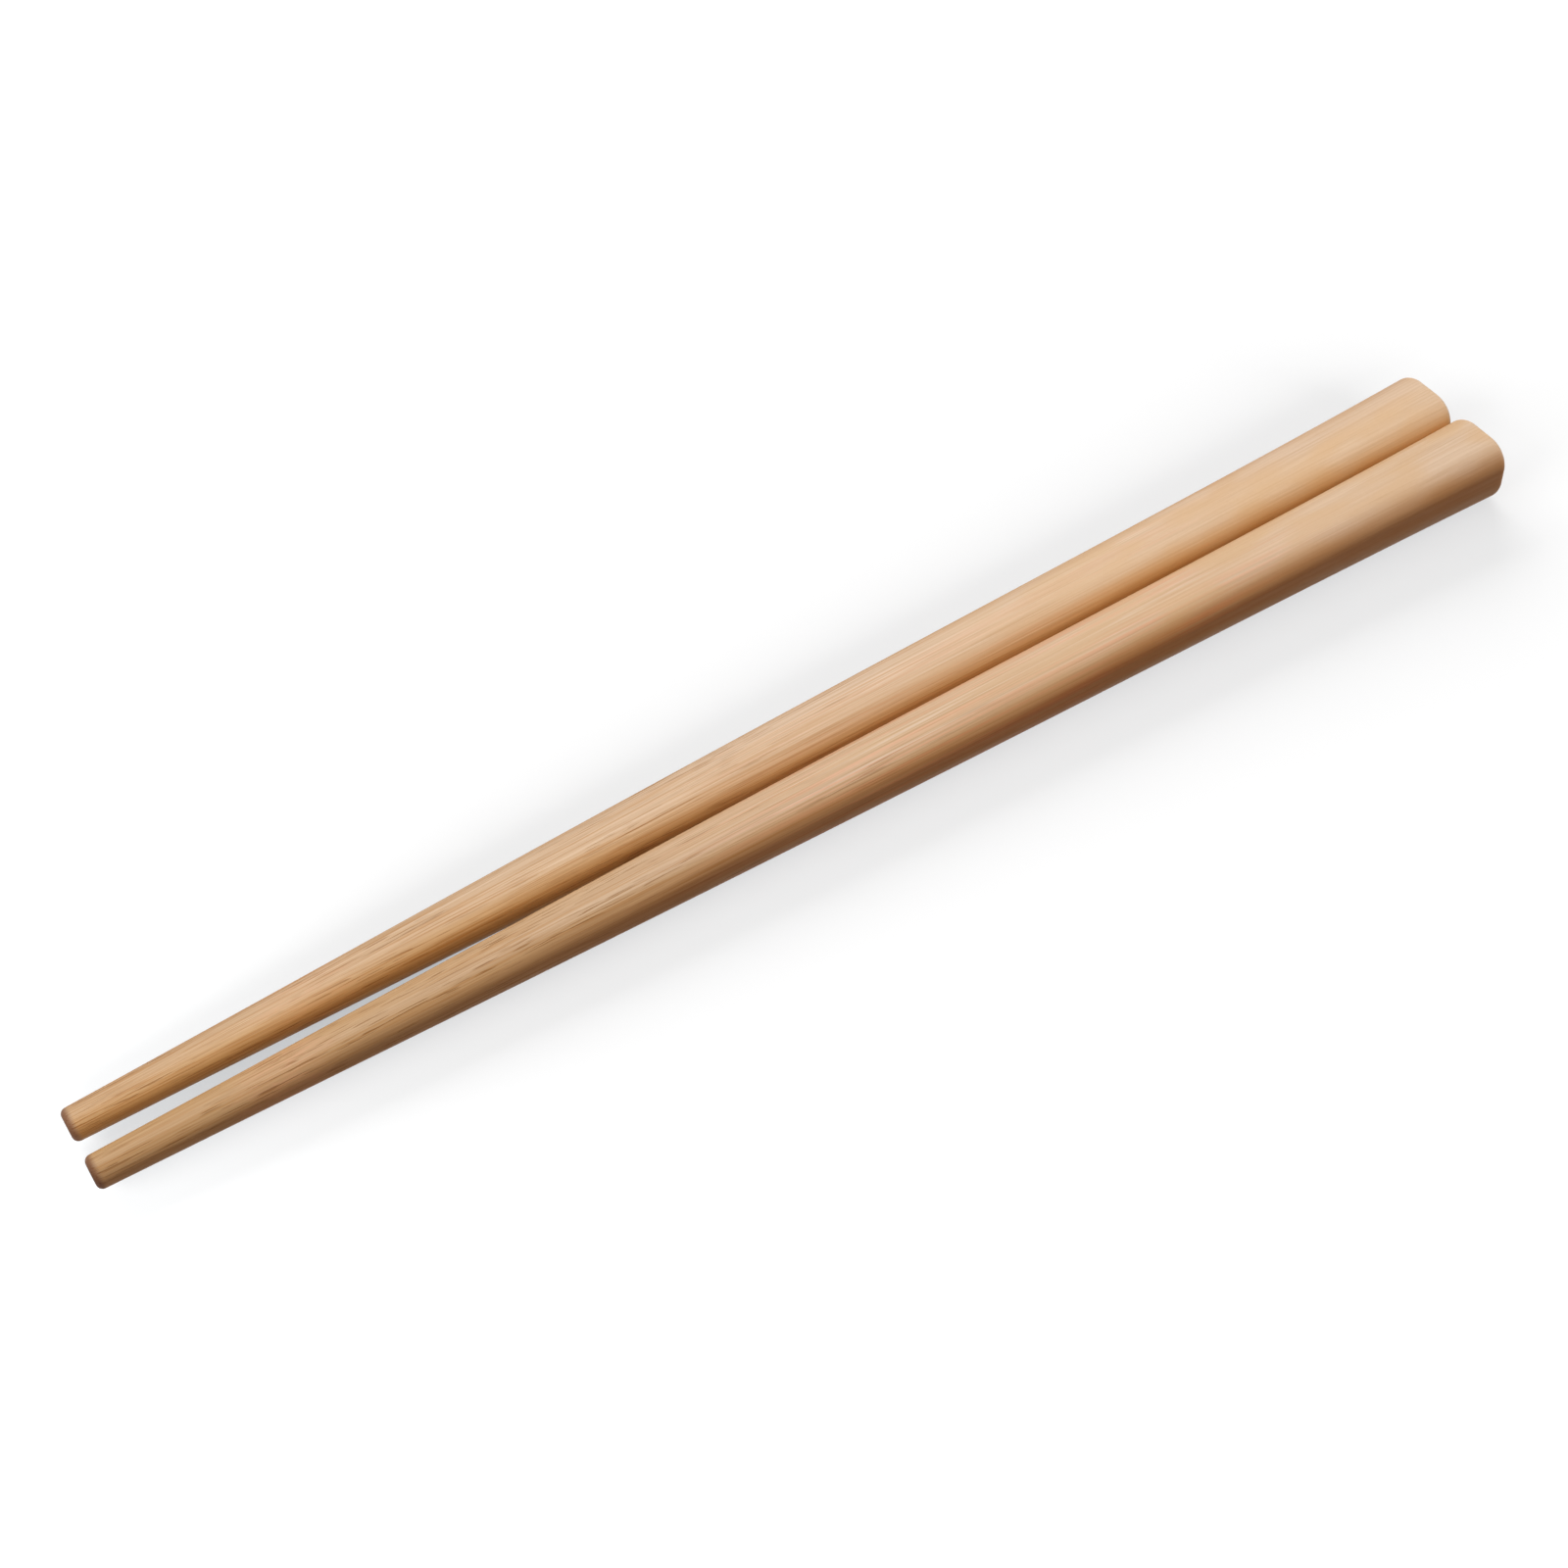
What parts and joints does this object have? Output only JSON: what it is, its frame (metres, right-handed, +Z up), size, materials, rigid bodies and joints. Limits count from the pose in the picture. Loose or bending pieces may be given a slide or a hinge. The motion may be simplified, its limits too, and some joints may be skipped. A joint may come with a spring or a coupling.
{
  "type": "pair of chopsticks",
  "caption": "Plain wooden chopsticks lying side by side for picking up food, each tapering from a rounded square butt to a round tip.",
  "frame": {"origin": "on the table under the middle of the pair's bounding box", "axes": "+X runs from the thin tips to the thick butts, +Z up from the table, +Y from the near stick to the far stick"},
  "size_m": [0.18, 0.019, 0.0086],
  "materials": {
    "pale_wood": "smooth sanded bamboo with fine straight grain, thinly oiled, satin"
  },
  "bodies": {
    "root": {"near_chopstick": "pale_wood", "far_chopstick": "pale_wood"}
  },
  "joints": []
}
